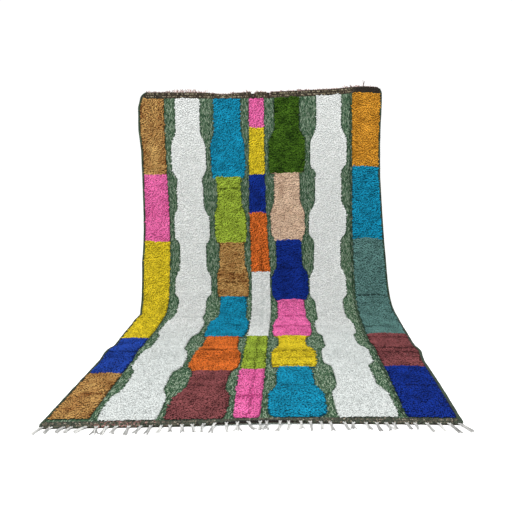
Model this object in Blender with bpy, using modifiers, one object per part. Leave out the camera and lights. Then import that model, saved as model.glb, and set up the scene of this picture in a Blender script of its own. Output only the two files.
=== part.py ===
"""Knotted wool rug, hung from its top edge and swept forward over the floor.

Units are metres and +Z is up. The origin is the middle of the rug's top edge, on the plane of
the wall that the rug hangs against. The rug lies in front of that plane, at negative Y, and X
runs across it, to the right for someone who faces it. "Down" is the distance along the cloth
from its top edge, and "across" is the distance from its middle line.
"""
import math

import bmesh
import bpy
from mathutils import Vector

# Cut size of the woven cloth, without its fringes
RUG_WIDTH = 1.90
RUG_LENGTH = 3.28
END_BAND = 0.048            # flat-woven band at each end
SELVAGE = 0.013             # firm woven edge down each side
TOP_CORNER_RADIUS = 0.045
FLOOR_CORNER_RADIUS = 0.030

# Thickness of each part of the cloth, from its back to its face
BAND_THICK = 0.006
SELVAGE_RIM_THICK = 0.006
SELVAGE_THICK = 0.010
GROUND_THICK = 0.009
PILE_THICK = 0.018
PILE_SIDE = 0.006           # width of the slope where standing pile meets the ground
CREASE_DEPTH = 0.005        # where the pile parts down the centre column's old fold
CREASE_START = 1.10
CREASE_FULL = 1.40

# How the rug hangs: its heading turns from plumb (0) to level (90) down the cloth
DRAPE = (
    # down, heading in degrees
    (0.00, 0.0),
    (0.93, 0.0),
    (1.10, 7.0),
    (1.24, 16.0),
    (1.44, 24.0),
    (1.53, 30.0),
    (1.61, 43.0),
    (1.69, 58.0),
    (1.77, 73.0),
    (1.87, 82.0),
    (2.01, 86.0),
    (2.15, 90.0),
    (3.40, 90.0),
)
HANG_LOW = 0.018            # the left side hangs this much lower than the even drape
HANG_RISE = 0.030           # and the cloth rises this much towards its right side
RISE_PLACE = 0.30
RISE_WIDTH = 0.30
CATCH_LIFT = 0.018          # the top edge is caught up this much near its right end
CATCH_PLACE = 0.80
CATCH_WIDTH = 0.16
RISE_FADE = (2.55, 3.20)    # the floor end evens the rise out between these places
RIPPLE_DOWN = 2.46          # a low fold across the rug, just past where it reaches the floor
RIPPLE_LENGTH = 0.24
RIPPLE_HEIGHT = 0.013
FLOOR_BOW = 0.014           # the floor end's corners reach this much past its middle
FLOOR_SKEW = 0.016          # and its left side this much further, its right side less far
SKEW_WIDTH = 0.40
BOW_START = 2.4

# Uneven sides: how far the cloth's middle line drifts to the right down the rug, and how far
# each side lies outward of the straight cut
SIDEWAYS = (
    # down, drift, left side, right side
    (0.00, 0.000, -0.030, 0.002),
    (0.05, 0.000, -0.010, 0.002),
    (0.12, 0.001, 0.009, 0.002),
    (0.30, 0.003, 0.013, -0.006),
    (0.45, 0.005, -0.002, -0.010),
    (0.70, 0.012, 0.000, -0.012),
    (1.10, 0.024, 0.009, 0.006),
    (1.35, 0.033, 0.018, 0.010),
    (1.55, 0.043, 0.009, 0.004),
    (1.74, 0.056, -0.008, -0.004),
    (1.83, 0.061, -0.024, -0.004),
    (1.92, 0.063, -0.008, 0.000),
    (2.12, 0.066, -0.002, 0.000),
    (2.38, 0.068, -0.010, -0.006),
    (2.43, 0.068, -0.003, -0.012),
    (2.50, 0.068, 0.003, 0.006),
    (2.62, 0.066, 0.000, -0.006),
    (2.90, 0.060, 0.000, 0.002),
    (3.28, 0.057, 0.002, -0.002),
)

# Columns of standing pile, and where each lies at these places down the rug. A wavy column
# narrows to its neck and swells to its belly once in each colour block. "end_bellies" is how
# full each belly still is where its block ends.
COLUMN_PLACES = (0.30, 0.90, 1.40, 1.80, 2.30, 2.80, 3.20)
OUTER_LEFT_EDGE = (-0.755, -0.748, -0.745, -0.735, -0.757, -0.752, -0.750)
OUTER_RIGHT_EDGE = (0.717, 0.711, 0.700, 0.677, 0.669, 0.700, 0.703)
CENTRE_MIDDLE = (-0.032, -0.044, -0.032, -0.039, -0.050, -0.044, -0.034)
CENTRE_WIDTH = (0.120, 0.134, 0.146, 0.144, 0.138, 0.142, 0.130)
WAVY_COLUMNS = {
    "white_left": {
        "ends": (0.689, 1.210, 1.655, 2.215, 2.738, 3.232),
        "necks": (0.192, 0.208, 0.208, 0.209, 0.209, 0.209),
        "end_bellies": (0.0, 0.0, 0.0, 0.0, 0.0, 0.94),
        "bellies": (0.272, 0.280, 0.278, 0.273, 0.286, 0.276),
        "middle": (-0.574, -0.575, -0.560, -0.556, -0.592, -0.588, -0.577),
    },
    "colour_left": {
        "ends": (0.664, 1.185, 1.630, 2.224, 2.728, 3.232),
        "necks": (0.212, 0.190, 0.200, 0.198, 0.222, 0.204),
        "end_bellies": (0.72, 0.72, 0.72, 0.72, 0.08, 0.94),
        "bellies": (0.272, 0.252, 0.247, 0.280, 0.286, 0.282),
        "middle": (-0.263, -0.265, -0.253, -0.246, -0.276, -0.268, -0.273),
    },
    "colour_right": {
        "ends": (0.638, 1.180, 1.670, 2.216, 2.692, 3.232),
        "necks": (0.198, 0.204, 0.204, 0.204, 0.176, 0.201),
        "end_bellies": (0.85, 0.25, 0.35, 0.62, 0.80, 0.94),
        "bellies": (0.290, 0.272, 0.285, 0.262, 0.264, 0.283),
        "middle": (0.205, 0.193, 0.196, 0.184, 0.175, 0.190, 0.203),
    },
    "white_right": {
        "ends": (0.663, 1.205, 1.695, 2.215, 2.687, 3.232),
        "necks": (0.195, 0.209, 0.210, 0.208, 0.210, 0.210),
        "end_bellies": (0.0, 0.0, 0.0, 0.0, 0.0, 0.94),
        "bellies": (0.288, 0.298, 0.284, 0.268, 0.292, 0.286),
        "middle": (0.535, 0.519, 0.492, 0.470, 0.482, 0.510, 0.528),
    },
}
NECK_PART = 0.39            # share of a block that stays narrow
SWELL_PART = 0.60           # share of a block where the belly is full
TAPER_PART = 0.86           # share of a block where the belly starts to close

# Spacing of the rows of points down the cloth
BAND_ROWS = (0.0, 0.005, 0.018, END_BAND)
FIELD_STEP = 0.062
BEND_STEP = 0.040
BEND_FROM = 1.46
BEND_TO = 2.02

# Fringes
EDGE_GAP = 0.0005           # between the cloth's edge and the strip that holds a fringe
STRIP_DEPTH = 0.005
STRIP_HEIGHT = 0.005
STRIP_END = 0.012           # the strip stops this far short of each corner
ROOT_WIDTH = 0.011
ROOT_UNEVEN = 0.2           # most that a root is off its even spacing, as a share of it
STRAND_LEAN = 0.5           # most that a strand leans to one side, in radians
STRAND_UNEVEN = 0.3         # most that a strand is longer or shorter, as a share
SHORTEST_STRIP = 0.001      # closer cuts across the strip than this are left out

# Sections of one knotted tassel and of one loose tuft
TASSEL_RINGS = (
    # share of its length, width, height
    (0.14, 0.0058, 0.0048),
    (0.24, 0.0088, 0.0080),
    (0.36, 0.0088, 0.0080),
    (0.46, 0.0052, 0.0050),
    (0.74, 0.0072, 0.0056),
    (1.00, 0.0076, 0.0030),
)
TUFT_RINGS = (
    # share of its length, width, height
    (0.25, 0.0062, 0.0046),
    (0.65, 0.0078, 0.0050),
    (1.00, 0.0036, 0.0026),
)
UP = Vector((0.0, 0.0, 1.0))
FORWARD = Vector((0.0, -1.0, 0.0))

# Each fringe: the place down the cloth where it grows, which way its strands point and its
# face looks, how far it lies off the wall or the floor, and its strands
FRINGES = {
    "fringe_top": {
        "down": 0.0,
        "outward": UP,
        "facing": FORWARD,
        "lift": 0.0006,
        "count": 34,
        "length": 0.028,
        "rings": TUFT_RINGS,
        "colour": (0.62, 0.56, 0.50),
    },
    "fringe_floor": {
        "down": RUG_LENGTH,
        "outward": FORWARD,
        "facing": UP,
        "lift": 0.0,
        "count": 38,
        "length": 0.052,
        "rings": TASSEL_RINGS,
        "colour": (0.70, 0.67, 0.60),
    },
}


def clear_scene():
    for item in list(bpy.data.objects):
        bpy.data.objects.remove(item, do_unlink=True)


def wool(name, red, green, blue, roughness):
    material = bpy.data.materials.new(name)
    material.use_nodes = True
    shader = material.node_tree.nodes["Principled BSDF"]
    shader.inputs["Base Color"].default_value = (red, green, blue, 1.0)
    shader.inputs["Roughness"].default_value = roughness
    shader.inputs["Metallic"].default_value = 0.0
    material.diffuse_color = (red, green, blue, 1.0)
    return material


def ease(value, start, end):
    """Rises smoothly from 0 at start to 1 at end."""
    share = min(max((value - start) / (end - start), 0.0), 1.0)
    return share * share * (3.0 - 2.0 * share)


def read_table(rows, place, column):
    """Value of a table's column at a place between its rows."""
    for upper, lower in zip(rows, rows[1:]):
        if place <= lower[0]:
            share = (place - upper[0]) / (lower[0] - upper[0])
            return upper[column] + share * (lower[column] - upper[column])
    return rows[-1][column]


def drape(down):
    """Distance from the wall, fall from the top edge, and heading in radians.

    Between two rows of the drape the cloth follows an arc, or a straight line where the
    heading stays the same.
    """
    out = 0.0
    fall = min(down, 0.0)
    heading = 0.0
    for (start, start_deg), (end, end_deg) in zip(DRAPE, DRAPE[1:]):
        if down <= start:
            break
        length = min(down, end) - start
        first = math.radians(start_deg)
        bend = math.radians(end_deg - start_deg) / (end - start)
        heading = first + bend * length
        if bend == 0.0:
            out += length * math.sin(first)
            fall += length * math.cos(first)
        else:
            out += (math.cos(first) - math.cos(heading)) / bend
            fall += (math.sin(heading) - math.sin(first)) / bend
    return out, fall, heading


def hang_lag(across, down):
    """How much lower than the rug's even hang the cloth is at a place across it."""
    rise = HANG_RISE * 0.5 * (1.0 + math.tanh((across - RISE_PLACE) / RISE_WIDTH))
    catch = CATCH_LIFT * math.exp(-((across - CATCH_PLACE) / CATCH_WIDTH) ** 2)
    return (HANG_LOW - rise - catch) * (1.0 - ease(down, *RISE_FADE))


EDGE_LEVEL = hang_lag(0.0, 0.0)     # puts the middle of the top edge at height 0
FLOOR_LEVEL = EDGE_LEVEL - drape(RUG_LENGTH)[1]


def lay(across, down, height=0.0):
    """World position of a point of the hung cloth, a height above its back."""
    out, fall, heading = drape(down + hang_lag(across, down))
    drift = read_table(SIDEWAYS, down, 1)
    bow = FLOOR_BOW * (2.0 * across / RUG_WIDTH) ** 2 - FLOOR_SKEW * math.tanh(across / SKEW_WIDTH)
    bow *= ease(down, BOW_START, RUG_LENGTH)
    from_ripple = (down - RIPPLE_DOWN) / RIPPLE_LENGTH
    ripple = 0.0
    if abs(from_ripple) < 0.5:
        ripple = RIPPLE_HEIGHT * math.cos(math.pi * from_ripple) ** 2
    return (
        across + drift,
        -out - bow - height * math.cos(heading),
        max(EDGE_LEVEL - fall, FLOOR_LEVEL) + ripple + height * math.sin(heading),
    )


def half_widths(down):
    """Distances from the middle line to the left and right sides of the cloth."""
    inset = 0.0
    for radius, from_end in (
        (TOP_CORNER_RADIUS, down),
        (FLOOR_CORNER_RADIUS, RUG_LENGTH - down),
    ):
        if from_end < radius:
            inset = radius - math.sqrt(radius ** 2 - (radius - from_end) ** 2)
    left = RUG_WIDTH / 2 + read_table(SIDEWAYS, down, 2) - inset
    right = RUG_WIDTH / 2 + read_table(SIDEWAYS, down, 3) - inset
    return left, right


def column_value(values, down):
    """Value at a place down the rug, from its values at the column places."""
    rows = tuple(zip(COLUMN_PLACES, values))
    return read_table(rows, max(down, COLUMN_PLACES[0]), 1)


def wavy_edges(name, down):
    """Left and right edge of a wavy column, which swells once in each colour block."""
    plan = WAVY_COLUMNS[name]
    ends = plan["ends"]
    place = min(down, ends[-1])
    block = min(number for number, end in enumerate(ends) if place <= end)
    start = ends[block - 1] if block else END_BAND
    part_way = max(place - start, 0.0) / (ends[block] - start)
    fullness = ease(part_way, NECK_PART, SWELL_PART)
    fullness *= 1.0 - (1.0 - plan["end_bellies"][block]) * ease(part_way, TAPER_PART, 1.0)
    neck = plan["necks"][block]
    width = neck + (plan["bellies"][block] - neck) * fullness
    middle = column_value(plan["middle"], down)
    return middle - width / 2, middle + width / 2


def pile_columns(down):
    """Left and right edge of each of the seven pile columns, from left to right."""
    left, right = half_widths(down)
    middle = column_value(CENTRE_MIDDLE, down)
    width = column_value(CENTRE_WIDTH, down)
    return {
        "outer_left": (-left + SELVAGE, column_value(OUTER_LEFT_EDGE, down)),
        "white_left": wavy_edges("white_left", down),
        "colour_left": wavy_edges("colour_left", down),
        "centre": (middle - width / 2, middle + width / 2),
        "colour_right": wavy_edges("colour_right", down),
        "white_right": wavy_edges("white_right", down),
        "outer_right": (column_value(OUTER_RIGHT_EDGE, down), right - SELVAGE),
    }


def cross_section(down):
    """Points across the cloth, each with its place across and its thickness."""
    left, right = half_widths(down)
    in_field = END_BAND < down < RUG_LENGTH - END_BAND
    crease = CREASE_DEPTH * ease(down, CREASE_START, CREASE_FULL)
    points = [(-left, SELVAGE_RIM_THICK), (-left + SELVAGE / 2, SELVAGE_THICK)]
    for name, (start, end) in pile_columns(down).items():
        points.append((start, GROUND_THICK))
        points.append((start + PILE_SIDE, PILE_THICK))
        if name == "centre":
            points.append(((start + end) / 2, PILE_THICK - crease))
        points.append((end - PILE_SIDE, PILE_THICK))
        points.append((end, GROUND_THICK))
    points += [(right - SELVAGE / 2, SELVAGE_THICK), (right, SELVAGE_RIM_THICK)]
    if in_field:
        return points
    return [(across, BAND_THICK) for across, thick in points]


def row_places():
    """Places down the cloth where its rows of points lie, closer where it bends."""
    places = [*BAND_ROWS, END_BAND + PILE_SIDE]
    while places[-1] < RUG_LENGTH - END_BAND - 1.5 * FIELD_STEP:
        bending = BEND_FROM < places[-1] < BEND_TO
        rippling = abs(places[-1] - RIPPLE_DOWN) < RIPPLE_LENGTH / 2
        places.append(places[-1] + (BEND_STEP if bending or rippling else FIELD_STEP))
    places.append(RUG_LENGTH - END_BAND - PILE_SIDE)
    return places + [RUG_LENGTH - place for place in reversed(BAND_ROWS)]


def add_object(name, mesh, material, collection):
    mesh.materials.append(material)
    item = bpy.data.objects.new(name, mesh)
    collection.objects.link(item)
    return item


def build_rug(collection):
    """The cloth: its back as a grid of points, thickened to the face of each column."""
    places = row_places()
    sections = [cross_section(place) for place in places]
    across_count = len(sections[0])
    shape = bmesh.new()
    bmesh.ops.create_grid(shape, x_segments=across_count - 1, y_segments=len(places) - 1, size=0.5)
    thickness = shape.verts.layers.deform.verify()
    corners = sorted(shape.verts, key=lambda corner: (-round(corner.co.y, 4), corner.co.x))
    for number, corner in enumerate(corners):
        row, column = divmod(number, across_count)
        across, thick = sections[row][column]
        corner.co = lay(across, places[row])
        corner[thickness][0] = thick / PILE_THICK
    mesh = bpy.data.meshes.new("rug")
    shape.to_mesh(mesh)
    shape.free()
    mesh.shade_smooth()
    rug = add_object("rug", mesh, wool("knotted_wool", 0.62, 0.62, 0.56, 0.95), collection)
    rug.vertex_groups.new(name="thickness")
    shell = rug.modifiers.new("pile", "SOLIDIFY")
    shell.thickness = PILE_THICK
    shell.offset = 1.0
    shell.vertex_group = "thickness"
    return rug


def wander(number, size):
    """A repeatable unevenness between -size and +size, different for each number."""
    return size * math.sin(12.9898 * number + 4.1) * math.cos(7.233 * number + 0.7)


def edge_point(edge, across):
    """Point on the straight stretches between the corners of the cloth's end edge."""
    for (left, start), (right, end) in zip(edge, edge[1:]):
        if across <= right:
            break
    return Vector(start).lerp(Vector(end), (across - left) / (right - left))


def join_rings(shape, ring, next_ring, open_side=None):
    """Faces between two rings of four corners, but for the side that is left open."""
    for side in range(4):
        if side != open_side:
            turn = (side + 1) % 4
            shape.faces.new((ring[side], ring[turn], next_ring[turn], next_ring[side]))


def build_fringe(name, plan, collection):
    """A narrow strip along one end of the cloth, with strands drawn out of its outer side.

    The strip bends where the cloth's edge does. Each strand starts as one face of the strip's
    outer side, and its rings follow on in a straight line that leans to one side.
    """
    edge = [(across, lay(across, plan["down"])) for across, thick in cross_section(plan["down"])]
    first = edge[0][0] + STRIP_END
    last = edge[-1][0] - STRIP_END
    pitch = (last - first) / plan["count"]
    shape = bmesh.new()

    def corner(across, reach, height, side=0.0):
        place = edge_point(edge, across) + Vector((side, 0.0, 0.0))
        place += plan["outward"] * (EDGE_GAP + reach) + plan["facing"] * (plan["lift"] + height)
        return shape.verts.new(place)

    def strip_ring(across):
        return [
            corner(across, 0.0, 0.0),
            corner(across, 0.0, STRIP_HEIGHT),
            corner(across, STRIP_DEPTH, STRIP_HEIGHT),
            corner(across, STRIP_DEPTH, 0.0),
        ]

    def strip_along(ring, start, end):
        """Carries the strip on to the end, with a ring wherever the cloth's edge bends."""
        bends = [bend for bend, point in edge if start + SHORTEST_STRIP < bend < end - SHORTEST_STRIP]
        for across in [*bends, end]:
            next_ring = strip_ring(across)
            join_rings(shape, ring, next_ring)
            ring = next_ring
        return ring

    def strand_ring(root, lean, reach, width, height):
        ring = []
        for half, level in ((-0.5, height), (-0.5, 0.0), (0.5, 0.0), (0.5, height)):
            out = STRIP_DEPTH + reach * math.cos(lean) - half * width * math.sin(lean)
            side = reach * math.sin(lean) + half * width * math.cos(lean)
            ring.append(corner(root, out, level, side))
        return ring

    ring = strip_ring(first)
    shape.faces.new(ring)
    place = first
    for number in range(plan["count"]):
        root = first + pitch * (number + 0.5 + wander(number, ROOT_UNEVEN))
        lean = wander(number + 50, STRAND_LEAN)
        length = plan["length"] * (1.0 + wander(number + 90, STRAND_UNEVEN))
        left = strip_along(ring, place, root - ROOT_WIDTH / 2)
        right = strip_ring(root + ROOT_WIDTH / 2)
        join_rings(shape, left, right, open_side=2)
        strand = [left[2], left[3], right[3], right[2]]
        for share, width, height in plan["rings"]:
            next_ring = strand_ring(root, lean, share * length, width, height)
            join_rings(shape, strand, next_ring)
            strand = next_ring
        shape.faces.new(strand)
        ring = right
        place = root + ROOT_WIDTH / 2
    shape.faces.new(strip_along(ring, place, last))
    bmesh.ops.recalc_face_normals(shape, faces=shape.faces)
    mesh = bpy.data.meshes.new(name)
    shape.to_mesh(mesh)
    shape.free()
    return add_object(name, mesh, wool(name + "_yarn", *plan["colour"], 0.9), collection)


def build():
    clear_scene()
    collection = bpy.data.collections.new("wool_rug")
    bpy.context.scene.collection.children.link(collection)
    build_rug(collection)
    for name, plan in FRINGES.items():
        build_fringe(name, plan, collection)


build()
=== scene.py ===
"""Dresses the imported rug: standing wool pile, heathered ground, woven bands, selvages and fringes.

"Down" is the distance along the cloth from its top edge, "across" the distance from its middle
line, and "height" the distance out from its back. All lengths are in metres.
"""
import math

import bpy
import numpy as np
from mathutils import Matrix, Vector


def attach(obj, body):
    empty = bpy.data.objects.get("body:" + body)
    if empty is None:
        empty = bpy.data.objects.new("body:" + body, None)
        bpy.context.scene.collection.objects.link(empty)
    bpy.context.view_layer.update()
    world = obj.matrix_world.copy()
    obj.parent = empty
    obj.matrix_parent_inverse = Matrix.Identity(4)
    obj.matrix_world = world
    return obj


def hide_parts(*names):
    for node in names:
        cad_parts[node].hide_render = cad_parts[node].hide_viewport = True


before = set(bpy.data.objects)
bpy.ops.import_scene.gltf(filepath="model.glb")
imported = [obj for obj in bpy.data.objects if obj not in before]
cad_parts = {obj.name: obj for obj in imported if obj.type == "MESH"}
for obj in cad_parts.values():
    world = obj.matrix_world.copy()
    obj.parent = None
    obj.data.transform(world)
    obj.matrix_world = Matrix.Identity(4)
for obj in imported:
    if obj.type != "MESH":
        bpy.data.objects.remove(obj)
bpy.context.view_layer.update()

# Cut, thickness, drape and ripple of the cloth, as in the solids
RUG_WIDTH = 1.90
RUG_LENGTH = 3.28
END_BAND = 0.048
SELVAGE = 0.013
TOP_CORNER_RADIUS = 0.045
FLOOR_CORNER_RADIUS = 0.030
GROUND_CLOTH = 0.0045       # top of the woven ground between its short tufts
PILE_BED = 0.0105           # the dense wool that the locks stand in
DRAPE_DOWN = (0.00, 0.93, 1.10, 1.24, 1.44, 1.53, 1.61, 1.69, 1.77, 1.87, 2.01, 2.15, 3.40)
DRAPE_HEADING = (0, 0, 7, 16, 24, 30, 43, 58, 73, 82, 86, 90, 90)
HANG_LOW = 0.018
HANG_RISE = 0.030
RISE_PLACE = 0.30
RISE_WIDTH = 0.30
CATCH_LIFT = 0.018
CATCH_PLACE = 0.80
CATCH_WIDTH = 0.16
RISE_FADE = (2.55, 3.20)
RIPPLE_DOWN = 2.46
RIPPLE_LENGTH = 0.24
RIPPLE_HEIGHT = 0.013
FLOOR_BOW = 0.014
FLOOR_SKEW = 0.016
SKEW_WIDTH = 0.40
BOW_START = 2.4
SIDEWAYS = np.array((
    # down, drift, left side, right side
    (0.00, 0.000, -0.030, 0.002),
    (0.05, 0.000, -0.010, 0.002),
    (0.12, 0.001, 0.009, 0.002),
    (0.30, 0.003, 0.013, -0.006),
    (0.45, 0.005, -0.002, -0.010),
    (0.70, 0.012, 0.000, -0.012),
    (1.10, 0.024, 0.009, 0.006),
    (1.35, 0.033, 0.018, 0.010),
    (1.55, 0.043, 0.009, 0.004),
    (1.74, 0.056, -0.008, -0.004),
    (1.83, 0.061, -0.024, -0.004),
    (1.92, 0.063, -0.008, 0.000),
    (2.12, 0.066, -0.002, 0.000),
    (2.38, 0.068, -0.010, -0.006),
    (2.43, 0.068, -0.003, -0.012),
    (2.50, 0.068, 0.003, 0.006),
    (2.62, 0.066, 0.000, -0.006),
    (2.90, 0.060, 0.000, 0.002),
    (3.28, 0.057, 0.002, -0.002),
)).T

# Small forms that the solids leave out: place across, spread and depth of two puckers in the
# top band and of a wide sag in it, the same of the curl that lifts the floor band's edge, how
# far from the ends these reach, and the radius of each column's last corners
PUCKERS = ((-0.056, 0.012, 0.034), (0.068, 0.011, 0.030))
BAND_SAG = (-0.29, 0.10, 0.014)
EDGE_CURL = (0.05, 0.30, 0.012)
END_REACH = 0.06
LAST_BLOCK_ROUND = {
    "outer_left": 0.022, "white_left": 0.022, "colour_left": 0.022, "centre": 0.034,
    "colour_right": 0.060, "white_right": 0.022, "outer_right": 0.022,
}

# Columns of standing pile, and where each lies at these places down the rug, as in the solids
COLUMN_PLACES = (0.30, 0.90, 1.40, 1.80, 2.30, 2.80, 3.20)
OUTER_LEFT_EDGE = (-0.755, -0.748, -0.745, -0.735, -0.757, -0.752, -0.750)
OUTER_RIGHT_EDGE = (0.717, 0.711, 0.700, 0.677, 0.669, 0.700, 0.703)
CENTRE_MIDDLE = (-0.032, -0.044, -0.032, -0.039, -0.050, -0.044, -0.034)
CENTRE_WIDTH = (0.120, 0.134, 0.146, 0.144, 0.138, 0.142, 0.130)
WAVY_COLUMNS = {
    "white_left": {
        "ends": (0.689, 1.210, 1.655, 2.215, 2.738, 3.232),
        "necks": (0.192, 0.208, 0.208, 0.209, 0.209, 0.209),
        "end_bellies": (0.0, 0.0, 0.0, 0.0, 0.0, 0.94),
        "bellies": (0.272, 0.280, 0.278, 0.273, 0.286, 0.276),
        "middle": (-0.574, -0.575, -0.560, -0.556, -0.592, -0.588, -0.577),
    },
    "colour_left": {
        "ends": (0.664, 1.185, 1.630, 2.224, 2.728, 3.232),
        "necks": (0.212, 0.190, 0.200, 0.198, 0.222, 0.204),
        "end_bellies": (0.72, 0.72, 0.72, 0.72, 0.08, 0.94),
        "bellies": (0.272, 0.252, 0.247, 0.280, 0.286, 0.282),
        "middle": (-0.263, -0.265, -0.253, -0.246, -0.276, -0.268, -0.273),
    },
    "colour_right": {
        "ends": (0.638, 1.180, 1.670, 2.216, 2.692, 3.232),
        "necks": (0.198, 0.204, 0.204, 0.204, 0.176, 0.201),
        "end_bellies": (0.85, 0.25, 0.35, 0.62, 0.80, 0.94),
        "bellies": (0.290, 0.272, 0.285, 0.262, 0.264, 0.283),
        "middle": (0.205, 0.193, 0.196, 0.184, 0.175, 0.190, 0.203),
    },
    "white_right": {
        "ends": (0.663, 1.205, 1.695, 2.215, 2.687, 3.232),
        "necks": (0.195, 0.209, 0.210, 0.208, 0.210, 0.210),
        "end_bellies": (0.0, 0.0, 0.0, 0.0, 0.0, 0.94),
        "bellies": (0.288, 0.298, 0.284, 0.268, 0.292, 0.286),
        "middle": (0.535, 0.519, 0.492, 0.470, 0.482, 0.510, 0.528),
    },
}
NECK_PART = 0.39            # share of a block that stays narrow
SWELL_PART = 0.60           # share of a block where the belly is full
TAPER_PART = 0.86           # share of a block where the belly starts to close
ON_FLOOR = (1.9, 2.3)       # stretch over which the pile comes to lie flat on the floor
PILE_SHORT = 0.016          # how much sooner the outer left column's pile ends
PILE_BACK = 0.005           # how far its pile stays back from the left selvage
FULLER = (2.1, 2.5)         # stretch over which the right selvage grows fuller
SELVAGE_GROWTH = 0.0045     # and by how much to each side
RAG_DEPTH = 0.0045          # how ragged the columns' edges are
RAG_LENGTH = 0.013
LOCK_INSET = 0.0055         # how far inside its column's edge the first lock stands
LOCK_ROOT = 0.0015          # how deep a lock's foot is in the bed
TUFT_ROOT = 0.0008          # and a ground tuft's in the cloth

# Lengthwise crease in the centre column: where it starts and is full, and how far it lies to
# the right of the column's middle
CREASE = (1.10, 1.40)
CREASE_OFF = 0.014
CREASE_PALE = (1.424, 2.212)        # stretch of white wool, where the crease shows less

# Dyes as they show on the finished wool
DYES = {
    "camel": "#B9965A",
    "pink": "#FF77B1",
    "yellow": "#E0C82B",
    "blue": "#2345A3",
    "navy": "#13318C",
    "teal": "#1690B4",
    "lime": "#9DB53D",
    "orange": "#DC722F",
    "white": "#DDDEDC",
    "maroon": "#874B4D",
    "tan": "#D7BFA6",
    "grass": "#466A1C",
    "amber": "#D49833",
    "sage": "#5E8782",
}
# Deep patches of the dyes that do not only darken
DEEP_TONES = {
    "camel": "#7E4E26",
    "pink": "#B9427D",
    "white": "#BEC3C1",
    "grass": "#122806",
    "amber": "#8F5E17",
    "tan": "#A98A72",
}
CALM_DYES = ("pink", "tan", "amber", "yellow")      # took the dye evenly
# The dye of each block down each column, and where the block ends
BLOCKS = {
    "outer_left": (("camel", 0.640), ("pink", 1.177), ("yellow", 2.245), ("blue", 2.752),
                   ("camel", 3.30)),
    "white_left": (("white", 3.30),),
    "colour_left": (("teal", 0.664), ("lime", 1.185), ("camel", 1.630), ("teal", 2.224),
                    ("orange", 2.728), ("maroon", 3.30)),
    "centre": (("pink", 0.272), ("yellow", 0.642), ("navy", 0.946), ("orange", 1.424),
               ("white", 2.212), ("lime", 2.708), ("pink", 3.30)),
    "colour_right": (("grass", 0.638), ("tan", 1.180), ("navy", 1.670), ("pink", 2.216),
                     ("yellow", 2.692), ("teal", 3.30)),
    "white_right": (("white", 3.30),),
    "outer_right": (("amber", 0.624), ("teal", 1.200), ("sage", 2.214), ("maroon", 2.713),
                    ("navy", 3.30)),
}
# Slope of each column's strokes of wool, in degrees up to the right
STROKES = {
    "outer_left": 45, "white_left": 25, "colour_left": 32, "centre": 45, "colour_right": 10,
    "white_right": 20, "outer_right": 8,
}
# Where the pile parts in a wavy line from side to side: place down, wave, and its depth
PARTINGS = {
    "outer_left": ((1.89, 0.008, 0.9), (2.49, 0.006, 0.7), (2.98, 0.007, 0.7)),
    "white_left": ((1.89, 0.004, 0.6), (2.36, 0.008, 0.5)),
    "colour_left": ((0.75, 0.005, 1.0), (1.44, 0.006, 0.7), (1.50, 0.005, 0.7), (2.02, 0.006, 0.7),
                    (2.37, 0.006, 0.4), (2.465, 0.007, 1.4), (2.90, 0.008, 0.6),
                    (3.05, 0.007, 0.3)),
    "centre": ((1.86, 0.004, 0.6), (2.84, 0.005, 0.5), (3.02, 0.005, 0.5)),
    "colour_right": ((1.40, 0.006, 0.6), (1.88, 0.007, 0.8), (2.05, 0.006, 0.7),
                     (2.49, 0.007, 1.0), (2.565, 0.006, 0.5), (2.668, 0.006, 1.5),
                     (2.92, 0.006, 0.7)),
    "white_right": ((0.70, 0.003, 0.4), (1.84, 0.007, 0.5), (2.40, 0.008, 0.5)),
    "outer_right": ((1.66, 0.007, 1.0), (1.735, 0.006, 1.0), (2.08, 0.007, 1.0), (2.28, 0.008, 1.0),
                    (2.40, 0.008, 1.0), (2.48, 0.007, 1.0), (2.53, 0.006, 1.0), (2.93, 0.006, 0.6)),
}

# Knots, drawn about 1.3 times as coarse as the real ones so that they show
KNOT_PITCH = 0.0088
KNOT_ROW = 0.0094
GROUND_PITCH = 0.0066
GROUND_ROW = 0.0090
STITCH_PITCH = 0.0086       # along the end bands
KNOT_STRAY = (0.0013, 0.0016)       # how far a knot is off its place, across and down
GROUND_STRAY = (0.0010, 0.0022)
DARK_LOCKS = 0.012          # share of locks that little light reaches

# Strokes of locks that took the dye alike
STROKE_WIDTH = 0.0095
STROKE_LENGTH = 0.034
STROKE_TABLE = (1024, 256)          # how many rows and places differ before they repeat


def ease(value, start, end):
    """Rises smoothly from 0 at start to 1 at end."""
    share = np.clip((value - start) / (end - start), 0.0, 1.0)
    return share * share * (3.0 - 2.0 * share)


# Where a point of the cloth hangs
WALK = np.arange(-0.1, 3.4, 0.001)
HEADINGS = np.radians(np.interp(WALK, DRAPE_DOWN, DRAPE_HEADING))


def walked(slope):
    """Running total of a slope along the cloth, 0 at the top edge."""
    total = np.concatenate(([0.0], np.cumsum((slope[1:] + slope[:-1]) / 2 * 0.001)))
    return total - np.interp(0.0, WALK, total)


OUT = walked(np.sin(HEADINGS))
FALL = walked(np.cos(HEADINGS))


def hang_lag(across, down):
    """How much lower than the rug's even hang the cloth is at a place across it."""
    rise = HANG_RISE * 0.5 * (1.0 + np.tanh((across - RISE_PLACE) / RISE_WIDTH))
    catch = CATCH_LIFT * np.exp(-((across - CATCH_PLACE) / CATCH_WIDTH) ** 2)
    return (HANG_LOW - rise - catch) * (1.0 - ease(down, *RISE_FADE))


EDGE_LEVEL = float(hang_lag(0.0, 0.0))
FLOOR_LEVEL = EDGE_LEVEL - float(FALL[-1])


def cloth_frame(across, down):
    """Directions down along the cloth, out of it and to its right, at points of the cloth."""
    heading = np.interp(down + hang_lag(across, down), WALK, HEADINGS)
    zero = np.zeros(len(heading))
    along = np.stack((zero, -np.sin(heading), -np.cos(heading)), -1)
    up = np.stack((zero, -np.cos(heading), np.sin(heading)), -1)
    return along, up, np.stack((zero + 1.0, zero, zero), -1)


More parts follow.
